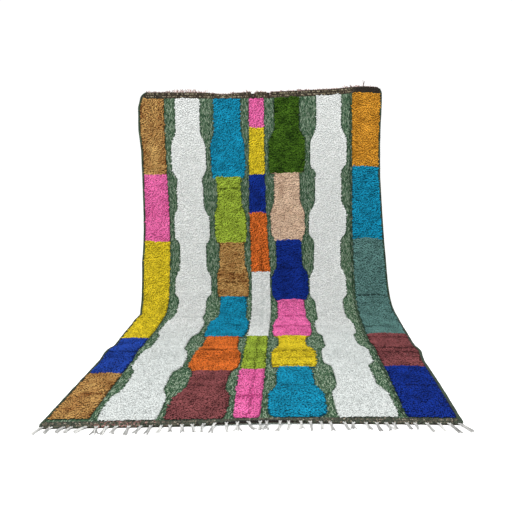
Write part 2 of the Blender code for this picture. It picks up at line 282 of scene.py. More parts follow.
def lay(across, down, height=0.0):
    """World positions of points of the hung cloth."""
    across, down, height = np.broadcast_arrays(
        *(np.asarray(value, float) for value in (across, down, height)))
    walk = down + hang_lag(across, down)
    heading = np.interp(walk, WALK, HEADINGS)
    drift = np.interp(down, SIDEWAYS[0], SIDEWAYS[1])
    bow = FLOOR_BOW * (2.0 * across / RUG_WIDTH) ** 2 - FLOOR_SKEW * np.tanh(across / SKEW_WIDTH)
    bow = bow * ease(down, BOW_START, RUG_LENGTH)
    from_ripple = np.clip((down - RIPPLE_DOWN) / RIPPLE_LENGTH, -0.5, 0.5)
    ripple = RIPPLE_HEIGHT * np.cos(np.pi * from_ripple) ** 2
    forward = -np.interp(walk, WALK, OUT) - bow - height * np.cos(heading)
    level = np.maximum(EDGE_LEVEL - np.interp(walk, WALK, FALL), FLOOR_LEVEL) + ripple
    near_top = 1 - ease(down, 0, END_REACH)
    for place, spread, depth in (*PUCKERS, BAND_SAG):
        level = level - depth * np.exp(-((across - place) / spread) ** 2) * near_top
    place, spread, lift = EDGE_CURL
    level = level + lift * np.exp(-((across - place) / spread) ** 2) * ease(
        down, RUG_LENGTH - END_REACH, RUG_LENGTH)
    return np.stack((across + drift, forward, level + height * np.sin(heading)), -1)


def corner_inset(radius, from_end):
    """How far a rounded corner draws a side in, at a distance from the end that it rounds."""
    short = np.clip(radius - from_end, 0.0, radius)
    return radius - np.sqrt(radius ** 2 - short ** 2)


def half_widths(down):
    """Distances from the middle line to the left and right sides of the cloth."""
    inset = corner_inset(TOP_CORNER_RADIUS, down)
    inset = inset + corner_inset(FLOOR_CORNER_RADIUS, RUG_LENGTH - down)
    left = RUG_WIDTH / 2 + np.interp(down, SIDEWAYS[0], SIDEWAYS[2]) - inset
    right = RUG_WIDTH / 2 + np.interp(down, SIDEWAYS[0], SIDEWAYS[3]) - inset
    return left, right


def wavy_edges(name, down):
    """Left and right edge of a wavy column, which swells once in each colour block."""
    plan = WAVY_COLUMNS[name]
    starts = np.array((END_BAND, *plan["ends"][:-1]))
    ends = np.array(plan["ends"])
    block = np.clip(np.searchsorted(ends, down), 0, len(ends) - 1)
    end_belly = np.array(plan["end_bellies"])[block]
    part_way = np.clip((down - starts[block]) / (ends[block] - starts[block]), 0.0, 1.0)
    fullness = ease(part_way, NECK_PART, SWELL_PART)
    fullness = fullness * (1.0 - (1.0 - end_belly) * ease(part_way, TAPER_PART, 1.0))
    necks = np.array(plan["necks"])
    before = np.where(block > 0, necks[block - 1], necks[0])
    neck = before + (necks[block] - before) * np.interp(part_way, (0.0, 0.1), (0.0, 1.0))
    width = neck + (np.array(plan["bellies"])[block] - neck) * fullness
    middle = np.interp(down, COLUMN_PLACES, plan["middle"])
    return middle - width / 2, middle + width / 2


def pile_columns(down):
    """Left and right edge of each of the seven pile columns, from left to right."""
    left, right = half_widths(down)
    middle = np.interp(down, COLUMN_PLACES, CENTRE_MIDDLE)
    width = np.interp(down, COLUMN_PLACES, CENTRE_WIDTH)
    edges = {
        "outer_left": (-left + SELVAGE, np.interp(down, COLUMN_PLACES, OUTER_LEFT_EDGE)),
        "white_left": wavy_edges("white_left", down),
        "colour_left": wavy_edges("colour_left", down),
        "centre": (middle - width / 2, middle + width / 2),
        "colour_right": wavy_edges("colour_right", down),
        "white_right": wavy_edges("white_right", down),
        "outer_right": (np.interp(down, COLUMN_PLACES, OUTER_RIGHT_EDGE), right - SELVAGE),
    }
    rounded = {}
    for name, (start, end) in edges.items():
        inset = corner_inset(LAST_BLOCK_ROUND[name], RUG_LENGTH - END_BAND - down)
        rounded[name] = (start + inset, end - inset)
    return rounded


def uneven(across, down, lump, seed):
    """A smooth unevenness between about -1 and 1, its lumps about so many metres across."""
    dice = np.random.default_rng(seed)
    total = 0.0
    for turn, size, start in zip(
            dice.uniform(0, np.pi, 5), dice.uniform(0.7, 1.7, 5), dice.uniform(0, 7, 5)):
        wave = 2 * np.pi / (2 * lump * size)
        total = total + np.sin(wave * (across * np.cos(turn) + down * np.sin(turn)) + start)
    return total / 2.6


def strokes(across, down, degrees, seed):
    """Unevenness from 0 to 1 in short strokes that slope up to the right."""
    slope = np.radians(degrees)
    row = (across * np.sin(slope) + down * np.cos(slope)) / STROKE_WIDTH + 400
    row = np.floor(row).astype(int) % STROKE_TABLE[0]
    table = np.random.default_rng(seed).uniform(0, 1, STROKE_TABLE)
    along = (across * np.cos(slope) - down * np.sin(slope)) / STROKE_LENGTH + 200
    along = along + 9 * table[row, 0]
    spot = np.floor(along).astype(int)
    share = ease(along - spot, 0.2, 0.8)
    first = table[row, spot % STROKE_TABLE[1]]
    return first + (table[row, (spot + 1) % STROKE_TABLE[1]] - first) * share


# Wool finishes
def linear(hex_colour, alpha=1.0):
    """sRGB hex to linear colour."""
    parts = [int(hex_colour[i:i + 2], 16) / 255 for i in (1, 3, 5)]
    return (*(c / 12.92 if c <= 0.04045 else ((c + 0.055) / 1.055) ** 2.4 for c in parts), alpha)


def tinted(colour, towards, share):
    """A colour moved a share of the way towards another."""
    return (*(a + (b - a) * share for a, b in zip(colour[:3], towards[:3])), 1.0)


def brightened(colour, gain):
    """A colour so many times as bright."""
    return (*(min(part * gain, 1.0) for part in colour[:3]), 1.0)


def add(tree, kind, inputs=None, stops=(), **settings):
    """Adds a node. An input that is a socket is linked, and any other is set. stops are the
    places and hex colours of a colour ramp."""
    made = tree.nodes.new(kind)
    for name, value in settings.items():
        setattr(made, name, value)
    for name, value in (inputs or {}).items():
        if isinstance(value, bpy.types.NodeSocket):
            tree.links.new(value, made.inputs[name])
        else:
            made.inputs[name].default_value = value
    for number, (spot, hex_colour) in enumerate(stops):
        marks = made.color_ramp.elements
        stop = marks[number] if number < 2 else marks.new(spot)
        stop.position = spot
        stop.color = linear(hex_colour)
    return made


def new_finish(name):
    """A new material, its node tree and its shader."""
    finish = bpy.data.materials.new(name)
    finish.use_nodes = True
    tree = finish.node_tree
    return finish, tree, tree.nodes["Principled BSDF"]


BLACK = (0.0, 0.0, 0.0, 1.0)
PALE = (1.0, 1.0, 1.0, 1.0)
# Sizes of what the wool shows, in millimetres
FIBRE_MM = 6.4              # curl of loose fibres, real ones are finer than the render can show
FLECK_MM = 9                # one stroke of locks, about a knot wide
CLOUD_MM = 100              # a patch of the column that took more of the dye
KNOT_PATCH_MM = 30          # wear of the back in patches
CARDED_MM = 10              # clumps of fleece left by carding
STRAND_MM = 6.5             # pale strands of fleece, drawn out about six times as long
WOOL_IOR = 1.54


def wool_shader(shader, sheen, roughness):
    """Raw wool scatters light and keeps a soft bloom at grazing angles."""
    shader.inputs["Roughness"].default_value = roughness
    shader.inputs["IOR"].default_value = WOOL_IOR
    shader.inputs["Specular IOR Level"].default_value = 0.05
    shader.inputs["Sheen Weight"].default_value = sheen
    shader.inputs["Sheen Roughness"].default_value = 0.55


def dyed_pile(dye):
    """Hand-knotted, hand-dyed wool: each stroke of locks took the dye a little differently and
    whole patches are deeper, tips are paler than roots, and the loose fibres keep it matt."""
    finish, tree, shader = new_finish(f"dyed_{dye}_wool_pile")
    colour = linear(DYES[dye])
    place = add(tree, "ShaderNodeAttribute", attribute_name="flat_place").outputs["Vector"]
    shade = add(tree, "ShaderNodeAttribute", attribute_name="shade").outputs["Fac"]
    reach = add(tree, "ShaderNodeAttribute", attribute_name="reach").outputs["Fac"]
    fleck = add(tree, "ShaderNodeTexNoise", {"Vector": place, "Scale": 1000 / FLECK_MM, "Detail": 2.0})
    cloud = add(tree, "ShaderNodeTexNoise", {"Vector": place, "Scale": 1000 / CLOUD_MM, "Detail": 3.0})
    blend = add(tree, "ShaderNodeMath", {0: shade, 1: fleck.outputs["Fac"]}, operation="ADD")
    # how much the patches count, the middle tone, how pale the tips are and how dark the roots,
    # which is partly deeper dye and partly painted shade where the locks crowd
    patches, middle, pale, root = 1.6, 1.8, 1.25, 0.34 if dye in CALM_DYES else 0.20
    if dye == "white":
        patches, middle, pale, root = 0.5, 1.25, 1.12, 0.72
    both = add(tree, "ShaderNodeMath", {
        0: cloud.outputs["Fac"], 1: patches, 2: blend.outputs[0]}, operation="MULTIPLY_ADD")
    half = 0.85 if dye in CALM_DYES else 0.62
    tone = add(tree, "ShaderNodeMapRange", {
        "Value": both.outputs[0], "From Min": middle - half, "From Max": middle + half})
    deep = linear(DEEP_TONES[dye]) if dye in DEEP_TONES else tinted(colour, BLACK, 0.52)
    body = add(tree, "ShaderNodeMix", {
        0: tone.outputs[0], 6: deep, 7: brightened(colour, pale)}, data_type="RGBA")
    # painted shade: where reach is low (roots, the bed, partings, the crease, locks little light
    # reaches) the colour darkens
    depth = add(tree, "ShaderNodeMapRange", {"Value": reach, "From Max": 0.62, "To Min": root})
    shaded = add(tree, "ShaderNodeMix", {
        0: 1.0, 6: body.outputs[2], 7: depth.outputs[0]}, data_type="RGBA", blend_type="MULTIPLY")
    tree.links.new(shaded.outputs[2], shader.inputs["Base Color"])
    fibre = add(tree, "ShaderNodeTexNoise", {
        "Vector": add(tree, "ShaderNodeTexCoord").outputs["Object"],
        "Scale": 1000 / FIBRE_MM, "Detail": 2.0})
    bump = add(tree, "ShaderNodeBump", {
        "Height": fibre.outputs["Fac"], "Strength": 0.5, "Distance": 0.002})
    tree.links.new(bump.outputs[0], shader.inputs["Normal"])
    wool_shader(shader, 0.03, 0.92)
    shader.inputs["Sheen Tint"].default_value = tinted(colour, PALE, 0.1)
    finish.diffuse_color = colour
    return finish


def knot_backs(name, hex_colour):
    """The rug's back: each row of knots shows as short ridges between two packed wefts."""
    finish, tree, shader = new_finish(f"{name}_knot_backs")
    colour = linear(hex_colour)
    place = add(tree, "ShaderNodeAttribute", attribute_name="flat_place").outputs["Vector"]
    parts = add(tree, "ShaderNodeSeparateXYZ", {0: place})
    rows = add(tree, "ShaderNodeMath", {0: parts.outputs["Y"], 1: 2 * np.pi / KNOT_ROW},
               operation="MULTIPLY")
    row_wave = add(tree, "ShaderNodeMath", {0: rows.outputs[0]}, operation="SINE")
    knots = add(tree, "ShaderNodeMath", {0: parts.outputs["X"], 1: 4 * np.pi / KNOT_PITCH},
                operation="MULTIPLY")
    knot_wave = add(tree, "ShaderNodeMath", {0: knots.outputs[0]}, operation="SINE")
    raised = add(tree, "ShaderNodeMath", {
        0: row_wave.outputs[0], 1: knot_wave.outputs[0]}, operation="ADD")
    height = add(tree, "ShaderNodeMapRange", {
        "Value": raised.outputs[0], "From Min": -2.0, "From Max": 2.0})
    patch = add(tree, "ShaderNodeTexNoise", {
        "Vector": place, "Scale": 1000 / KNOT_PATCH_MM, "Detail": 3.0})
    mixed = add(tree, "ShaderNodeMath", {
        0: height.outputs[0], 1: patch.outputs["Fac"]}, operation="MULTIPLY")
    tone = add(tree, "ShaderNodeMapRange", {
        "Value": mixed.outputs[0], "From Min": 0.05, "From Max": 0.5})
    body = add(tree, "ShaderNodeMix", {
        0: tone.outputs[0], 6: tinted(colour, linear("#2E3A2E"), 0.55),
        7: tinted(colour, PALE, 0.08)}, data_type="RGBA")
    tree.links.new(body.outputs[2], shader.inputs["Base Color"])
    bump = add(tree, "ShaderNodeBump", {
        "Height": height.outputs[0], "Strength": 0.8, "Distance": 0.0015})
    tree.links.new(bump.outputs[0], shader.inputs["Normal"])
    wool_shader(shader, 0.10, 0.95)
    finish.diffuse_color = colour
    return finish


def ground_wool():
    """Green wool carded with dark and pale fleece before it was spun, so each tuft differs."""
    finish, tree, shader = new_finish("heathered_ground_wool")
    place = add(tree, "ShaderNodeAttribute", attribute_name="flat_place").outputs["Vector"]
    shade = add(tree, "ShaderNodeAttribute", attribute_name="shade").outputs["Fac"]
    reach = add(tree, "ShaderNodeAttribute", attribute_name="reach").outputs["Fac"]
    stretched = add(tree, "ShaderNodeMapping", {"Vector": place, "Scale": (1.0, 0.3, 1.0)})
    fleck = add(tree, "ShaderNodeTexNoise", {
        "Vector": stretched.outputs[0], "Scale": 1000 / CARDED_MM, "Detail": 2.0})
    blend = add(tree, "ShaderNodeMath", {0: shade, 1: fleck.outputs["Fac"]}, operation="ADD")
    tone = add(tree, "ShaderNodeMapRange", {
        "Value": blend.outputs[0], "From Min": 0.30, "From Max": 1.55})
    ramp = add(tree, "ShaderNodeValToRGB", {0: tone.outputs[0]}, (
        (0.0, "#15281A"), (0.33, "#3A6043"), (0.66, "#6C9670"), (1.0, "#DDF0D2")))
    drawn = add(tree, "ShaderNodeMapping", {"Vector": place, "Scale": (1.0, 0.16, 1.0)})
    strand = add(tree, "ShaderNodeTexNoise", {
        "Vector": drawn.outputs[0], "Scale": 1000 / STRAND_MM, "Detail": 1.0})
    pale_strand = add(tree, "ShaderNodeMapRange", {
        "Value": strand.outputs["Fac"], "From Min": 0.57, "From Max": 0.64, "To Max": 0.85})
    body = add(tree, "ShaderNodeMix", {
        0: pale_strand.outputs[0], 6: ramp.outputs["Color"], 7: linear("#C6DCC0")},
        data_type="RGBA")
    # painted shade: where reach is low, at the tufts' roots and on the cloth between them, the colour
    # darkens
    depth = add(tree, "ShaderNodeMapRange", {"Value": reach, "From Max": 0.8, "To Min": 0.3})
    shaded = add(tree, "ShaderNodeMix", {
        0: 1.0, 6: body.outputs[2], 7: depth.outputs[0]},
        data_type="RGBA", blend_type="MULTIPLY")
    tree.links.new(shaded.outputs[2], shader.inputs["Base Color"])
    wool_shader(shader, 0.06, 0.95)
    finish.diffuse_color = linear("#4F6F57")
    return finish


def mixed_yarn(name, colours, twist_mm):
    """Hand-spun yarn of several fleeces. Its ply shows as slanting ridges."""
    finish, tree, shader = new_finish(name)
    shade = add(tree, "ShaderNodeAttribute", attribute_name="shade").outputs["Fac"]
    coordinates = add(tree, "ShaderNodeTexCoord").outputs["Object"]
    speck = add(tree, "ShaderNodeTexNoise", {
        "Vector": coordinates, "Scale": 1000 / twist_mm / 2, "Detail": 3.0})
    blend = add(tree, "ShaderNodeMath", {
        0: speck.outputs["Fac"], 1: 0.45}, operation="MULTIPLY")
    both = add(tree, "ShaderNodeMath", {0: shade, 1: blend.outputs[0]}, operation="ADD")
    tone = add(tree, "ShaderNodeMapRange", {
        "Value": both.outputs[0], "From Min": 0.10, "From Max": 1.30})
    ramp = add(tree, "ShaderNodeValToRGB", {0: tone.outputs[0]}, [
        (number / (len(colours) - 1), hex_colour) for number, hex_colour in enumerate(colours)])
    tree.links.new(ramp.outputs["Color"], shader.inputs["Base Color"])
    ply = add(tree, "ShaderNodeTexWave", {
        "Vector": coordinates, "Scale": 1000 / twist_mm / 6, "Distortion": 1.5},
        bands_direction="DIAGONAL")
    bump = add(tree, "ShaderNodeBump", {
        "Height": ply.outputs["Fac"], "Strength": 0.6, "Distance": 0.0012})
    tree.links.new(bump.outputs[0], shader.inputs["Normal"])
    wool_shader(shader, 0.08, 0.95)
    finish.diffuse_color = linear(colours[len(colours) // 2])
    return finish


class Gathered:
    """Points and faces of many small things that become one piece."""

    def __init__(self):
        self.points = []
        self.shade = []
        self.reach = []
        self.place = []
        self.faces = []
        self.finish = []
        self.unrolled = []
        self.count = 0

    def add(self, points, faces, unrolled, finish=0, shade=0.5, reach=1.0, place=None):
        """points (n, 3), faces (m, k), unrolled (m, k, 2): the faces laid flat from 0 to 1."""
        points = np.asarray(points, float).reshape(-1, 3)
        number = len(points)
        place = points[:, :2] if place is None else np.asarray(place, float).reshape(-1, 2)
        self.points.append(points)
        self.shade.append(np.broadcast_to(shade, number))
        self.reach.append(np.broadcast_to(reach, number))
        self.place.append(np.column_stack((place, np.zeros(number))))
        self.join(faces, unrolled, finish, self.count)
        self.count += number

    def join(self, faces, unrolled, finish=0, start=0):
        """More faces, whose points are counted from the point with the number start."""
        self.faces.append(np.asarray(faces) + start)
        self.finish.append(np.broadcast_to(finish, len(faces)))
        self.unrolled.append(np.asarray(unrolled, float))

    def piece(self, name, finishes):
        """Turns what was gathered into one object."""
        loops = np.concatenate([f.ravel() for f in self.faces])
        sizes = np.concatenate([np.full(len(f), f.shape[1]) for f in self.faces])
        mesh = bpy.data.meshes.new(name)
        mesh.vertices.add(self.count)
        mesh.vertices.foreach_set("co", np.concatenate(self.points).astype(np.float32).ravel())
        mesh.loops.add(len(loops))
        mesh.loops.foreach_set("vertex_index", loops.astype(np.int32))
        mesh.polygons.add(len(sizes))
        starts = np.concatenate(([0], np.cumsum(sizes)[:-1]))
        mesh.polygons.foreach_set("loop_start", starts.astype(np.int32))
        mesh.polygons.foreach_set("material_index", np.concatenate(self.finish).astype(np.int32))
        mesh.update(calc_edges=True)
        for label, kind, values in (("shade", "FLOAT", self.shade), ("reach", "FLOAT", self.reach),
                                    ("flat_place", "FLOAT_VECTOR", self.place)):
            layer = mesh.attributes.new(label, kind, "POINT")
            layer.data.foreach_set("vector" if kind == "FLOAT_VECTOR" else "value",
                                   np.concatenate(values).astype(np.float32).ravel())
        flat = mesh.uv_layers.new(name="OFBake")
        flat.uv.foreach_set("vector", np.concatenate(
            [u.reshape(-1, 2) for u in self.unrolled]).astype(np.float32).ravel())
        mesh.shade_smooth()
        mesh.validate()
        for finish in finishes:
            mesh.materials.append(finish)
        item = bpy.data.objects.new(name, mesh)
        bpy.context.scene.collection.objects.link(item)
        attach(item, "root")
        return item


def strip_map(unrolled, low, high):
    """Squeezes a flat map into the band of the unit square between two heights."""
    unrolled = np.array(unrolled, float)
    unrolled[..., 1] = low + unrolled[..., 1] * (high - low)
    return unrolled


CELL_SHARE = 0.86           # of the side of a thing's cell in the flat map


def in_cells(flat, number, band):
    """Gives each of so many like things a square cell for the flat map of its faces."""
    side = math.ceil(math.sqrt(number))
    index = np.arange(number)
    corner = np.column_stack((index % side, index // side)) / side + (1 - CELL_SHARE) / side / 2
    flat = np.array(flat)[None] * (CELL_SHARE / side) + corner[:, None, None, :]
    return strip_map(flat.reshape(-1, *flat.shape[2:]), *band)


def on_each(faces, number, each):
    """The same faces on each of so many like things that have so many points."""
    faces = np.array(faces)
    return (faces[None] + np.arange(number)[:, None, None] * each).reshape(-1, faces.shape[1])


def grid_faces(rows, columns):
    """Quads of a grid of points, and the same quads laid flat."""
    index = np.arange(rows * columns).reshape(rows, columns)
    a, b, c, d = index[:-1, :-1], index[1:, :-1], index[1:, 1:], index[:-1, 1:]
    faces = np.stack((a, b, c, d), -1).reshape(-1, 4)
    flat = np.stack((index % columns / (columns - 1), index // columns / (rows - 1)), -1)
    return faces, flat.reshape(-1, 2)[faces]


def flat_quads(left, low, right, high):
    """Quads laid flat, from where each has its four sides."""
    left, low, right, high = np.broadcast_arrays(left, low, right, high)
    corners = ((left, low), (left, high), (right, high), (right, low))
    return np.stack([np.stack(corner, -1) for corner in corners], -2)


def stand_locks(gathered, across, down, foot, plan, dice, lean, rise, run, finish, shade, lit,
                band=(0.0, 1.0)):
    """Three-sided locks of wool. Each stands on its foot, bends over down the rug and ends in
    a point. plan gives the width, thickness, rise and run of one lock, and lit is how much
    light reaches it."""
    number = len(across)
    width = plan["width"] * dice.uniform(0.8, 1.2, number)
    thick = plan["thick"] * dice.uniform(0.8, 1.2, number)
    rise = plan["rise"] * rise * dice.uniform(0.84, 1.12, number)
    run = plan["run"] * run * dice.uniform(0.75, 1.25, number)
    turn = lean + dice.normal(0.0, plan["stray"], number)
    side_stray = dice.normal(0.0, 0.18, number) * width
    along, up, right = cloth_frame(across, down)
    forward = np.cos(turn)[:, None] * along + np.sin(turn)[:, None] * right
    aside = -np.sin(turn)[:, None] * along + np.cos(turn)[:, None] * right
    base = lay(across, down, foot)
    spots = []
    roll = dice.uniform(0.0, 2 * np.pi / 3, number)
    for ring_run, ring_rise, ring_width, tip in plan["rings"]:
        for corner in range(3):
            angle = roll + corner * 2 * np.pi / 3
            s = np.cos(angle) * width / 2 * ring_width
            t = np.sin(angle) * thick / 2 * ring_width
            f = ring_run * run - t * tip + t * (1 - tip)
            u = ring_rise * rise + t * tip
            spots.append(base + s[:, None] * aside + f[:, None] * forward + u[:, None] * up)
    point = (base + side_stray[:, None] * aside + run[:, None] * forward
             + (rise * plan["tip_rise"])[:, None] * up)
    spots.append(point)
    points = np.stack(spots, 1)
    rings = len(plan["rings"])
    per_lock = 3 * rings + 1
    # reach runs from 0 at a lock's foot to 1 at its tip, scaled by lit; the pile and ground finishes
    # paint shade where it is low
    reach = np.append(np.repeat(np.linspace(0, 0.75, rings), 3), 1.0)
    reach = np.tile(reach, number) * np.repeat(np.broadcast_to(lit, number), per_lock)
    place = np.repeat(np.column_stack((across, down)), per_lock, 0)
    finish = np.repeat(np.broadcast_to(finish, number), 3)
    for ring in range(rings):
        low = ring / rings
        high = (ring + 1) / rings
        faces, flat = [], []
        for side in range(3):
            turn_on = (side + 1) % 3
            left, wide = side / 3, 1 / 3
            if ring < rings - 1:
                faces.append((3 * ring + side, 3 * ring + turn_on,
                              3 * ring + 3 + turn_on, 3 * ring + 3 + side))
                flat.append(((left, low), (left + wide, low), (left + wide, high), (left, high)))
            else:
                faces.append((3 * ring + side, 3 * ring + turn_on, 3 * rings))
                flat.append(((left, low), (left + wide, low), (left + wide / 2, high)))
        faces = on_each(faces, number, per_lock)
        flat = in_cells(flat, number, band)
        if ring == 0:
            gathered.add(points, faces, flat, finish, np.repeat(shade, per_lock), reach, place)
        else:
            gathered.join(faces, flat, finish, gathered.count - number * per_lock)


PILE_LOCK = {
    "width": 0.0096, "thick": 0.0062, "rise": 0.0092, "run": 0.0165, "stray": 0.34,
    "rings": ((0.0, 0.0, 0.9, 0.0), (0.45, 0.80, 1.0, 0.75)), "tip_rise": 0.86,
}
GROUND_LOCK = {
    "width": 0.0060, "thick": 0.0042, "rise": 0.0042, "run": 0.0150, "stray": 0.22,
    "rings": ((0.0, 0.35, 1.0, 0.5),), "tip_rise": 1.0,
}


def blocks_at(name, down, share):
    """Which block of a column lies at each place. Each block's end arches a little."""
    ends = np.array([end for dye, end in BLOCKS[name]])
    arched = down + 0.004 * (1.0 - (2.0 * share - 1.0) ** 2)
    return np.clip(np.searchsorted(ends, arched), 0, len(ends) - 1)


def column_finishes(name, finishes):
    """The finishes of one column, each once, and the number of each block's finish."""
    dyes = list(dict.fromkeys(dye for dye, end in BLOCKS[name]))
    return [finishes[dye] for dye in dyes], np.array([dyes.index(dye) for dye, end in BLOCKS[name]])


# Stretch of the cloth with knots in it
BAND_GAP = 0.003
FIELD_FROM = END_BAND + BAND_GAP
FIELD_TO = RUG_LENGTH - END_BAND - BAND_GAP


def knot_places(pitch, row):
    """Places of knots in staggered rows over the whole field."""
    rows = np.arange(FIELD_FROM, FIELD_TO, row)
    spots = np.arange(-RUG_WIDTH / 2 - 0.03, RUG_WIDTH / 2 + 0.03, pitch)
    down, across = np.meshgrid(rows, spots, indexing="ij")
    across = across + (np.arange(len(rows)) % 2 * pitch / 2)[:, None]
    return across.ravel(), down.ravel()


# The bed across a column: heights, and how far its edges' points lie in from the edge
BED_HEIGHTS = np.array((0.004, 0.0085, PILE_BED, PILE_BED, PILE_BED, PILE_BED, 0.0085, 0.004))
BED_INSETS = np.array((0.0, 0.0015, 0.006))
BED_ROW = 0.018


def pile_bed(gathered, name, numbers, pile_end):
    """The dense wool under a column's locks. It slopes off at both edges of the column."""
    rows = np.unique(np.round(np.concatenate((
        np.arange(FIELD_FROM, pile_end, BED_ROW), [pile_end],
        [end for dye, end in BLOCKS[name] if end < pile_end])), 5))
    left, right = pile_columns(rows)[name]
    left, right = left + 0.002, right - 0.002
    middle = np.linspace(0.33, 0.67, 2)
    across = np.concatenate((
        left[:, None] + BED_INSETS, left[:, None] + (right - left)[:, None] * middle,
        right[:, None] - BED_INSETS[::-1]), 1)
    down = np.repeat(rows[:, None], across.shape[1], 1)
    faces, flat = grid_faces(*across.shape)
    between = (rows[1:] + rows[:-1]) / 2
    block = blocks_at(name, between, 0.0)
    # painted shade: the bed's low shade and reach darken it, as the shade between the locks
    gathered.add(lay(across, down, BED_HEIGHTS[None]), faces, strip_map(flat, 0.0, 0.04),
                 np.repeat(numbers[block], across.shape[1] - 1), 0.1, 0.05,
                 np.stack((across, down), -1))


def column_knots(name, pile_end, seed):
    """Places of the knots of one column, and where its ragged edges lie beside each."""
    across, down = knot_places(KNOT_PITCH, KNOT_ROW)
    left, right = pile_columns(down)[name]
    left = left + RAG_DEPTH * uneven(0.0, down, RAG_LENGTH, seed + 20)
    left = left + PILE_BACK * (name == "outer_left")
    right = right + RAG_DEPTH * uneven(0.0, down, RAG_LENGTH, seed + 21)
    right = right - 2 * SELVAGE_GROWTH * ease(down, *FULLER) * (name == "outer_right")
    inside = (across > left + LOCK_INSET) & (across < right - LOCK_INSET)
    inside &= down < pile_end
    return across[inside], down[inside], left[inside], right[inside]


def part_pile(name, seed, on_floor, across, down, rise, run, shade, lit):
    """Opens a column's partings. Beside each, the locks lie lower, and painted shade darkens them."""
    for number, (place, wave, deep) in enumerate(PARTINGS[name]):
        line = place + 0.6 * wave * np.sin(across * 40 + 2.1 * number + seed)
        line = line + 0.3 * wave * np.sin(across * 131 + seed)
        off = down - line
        broken = np.clip(0.65 + 1.1 * uneven(across, 0.0, 0.022, seed + 7 * number), 0.2, 1)
        near = deep * broken * np.exp(-(off / (0.0065 + 0.003 * on_floor)) ** 2)
        rise = rise * (1.0 - 0.40 * near)
        run = run * (1.0 - 0.75 * near * (off < 0))
        down = down + 0.0035 * near * np.sign(off)
        shade = shade - 1.2 * near
        lit = lit * (1.0 - 0.97 * near)
    return down, rise, run, shade, lit


def crease_pile(seed, middle, across, down, lean, rise, shade, lit):
    """The crease parts the locks to both sides and paints shade on them in blotches."""
    crease = ease(down, *CREASE)
    off = across - middle - CREASE_OFF - 0.003 * np.sin(down * 23)
    near = crease * np.exp(-(off / 0.011) ** 2)
    lean = lean + 0.35 * near * np.sign(off)
    rise = rise * (1.0 - 0.45 * near)
    shade_blotch = np.clip(0.45 + 1.3 * uneven(across, down, 0.010, seed + 9), 0, 1)
    deep = np.where((down > CREASE_PALE[0]) & (down < CREASE_PALE[1]), 0.6, 1.0)
    shade = shade - 1.1 * deep * crease * np.exp(-(off / 0.013) ** 2) * shade_blotch
    lit = lit * (1.0 - deep * crease * np.exp(-(off / 0.012) ** 2) * shade_blotch)
    return lean, rise, shade, lit


def pile_column(name, finishes, seed):
    """One column of standing pile: its dense bed, and the locks that stand in it."""
    dice = np.random.default_rng(seed)
    own_finishes, numbers = column_finishes(name, finishes)
    gathered = Gathered()
    pile_end = FIELD_TO - PILE_SHORT * (name == "outer_left")
    pile_bed(gathered, name, numbers, pile_end)
    across, down, left, right = column_knots(name, pile_end, seed)
    number = len(across)
    block = blocks_at(name, down, (across - left) / (right - left))
    across = across + dice.normal(0.0, KNOT_STRAY[0], number)
    down = down + dice.normal(0.0, KNOT_STRAY[1], number)
    on_floor = ease(down, *ON_FLOOR)
    # each lock's lean, height, length and shade
    slope = np.radians(STROKES[name])
    lean = slope - np.pi / 2 + 0.35 * uneven(across, down, 0.045, seed + 1)
    lean = lean + 0.2 * uneven(across, down, 0.2, seed + 2)
    rise = 1.0 + 0.13 * uneven(across, down, 0.035, seed + 3)
    run = 1.0 + 0.15 * uneven(across, down, 0.03, seed + 4)
    shade = 0.35 * dice.uniform(0, 1, number) + 0.65 * strokes(across, down, STROKES[name], seed + 5)
    # on the floor the locks lie lower and their tones are more even; there the colour is painted
    # darker, as shade on the locks that face the light more fully, and the painted root shade is
    # weaker
    shade = 0.5 + (shade - 0.5) * (1.0 - 0.65 * on_floor)
    if "white" in name:
        shade = 0.57 + (0.3 - 0.15 * on_floor) * (shade - 0.5) - 0.56 * on_floor
        rise = rise * (1.0 - 0.30 * on_floor)
    else:
        shade = shade - 0.08 * on_floor
    dark_lock = dice.uniform(0, 1, number) < DARK_LOCKS * (1.0 - 0.8 * on_floor)
    lit = np.where(dark_lock, 0.35, 1.0 + 0.9 * on_floor)
    rise = rise * (1.0 - 0.42 * on_floor)
    down, rise, run, shade, lit = part_pile(
        name, seed, on_floor, across, down, rise, run, shade, lit)
    # the edge locks lean outward over the ground
    from_left = across - left
    from_right = right - across
    lean = lean - 0.3 * np.exp(-(from_left / 0.010) ** 2) + 0.3 * np.exp(-(from_right / 0.010) ** 2)
    rise = rise * (1.0 - 0.25 * np.exp(-(np.minimum(from_left, from_right) / 0.007) ** 2))
    across = across + 0.007 * np.cos(slope)
    if name == "centre":
        lean, rise, shade, lit = crease_pile(
            seed, (left + right) / 2, across, down, lean, rise, shade, lit)
    stand_locks(gathered, across, down, PILE_BED - LOCK_ROOT, PILE_LOCK, dice, lean, rise, run,
                numbers[block], shade, lit, (0.05, 1.0))
    return gathered.piece(f"pile_{name}", own_finishes)


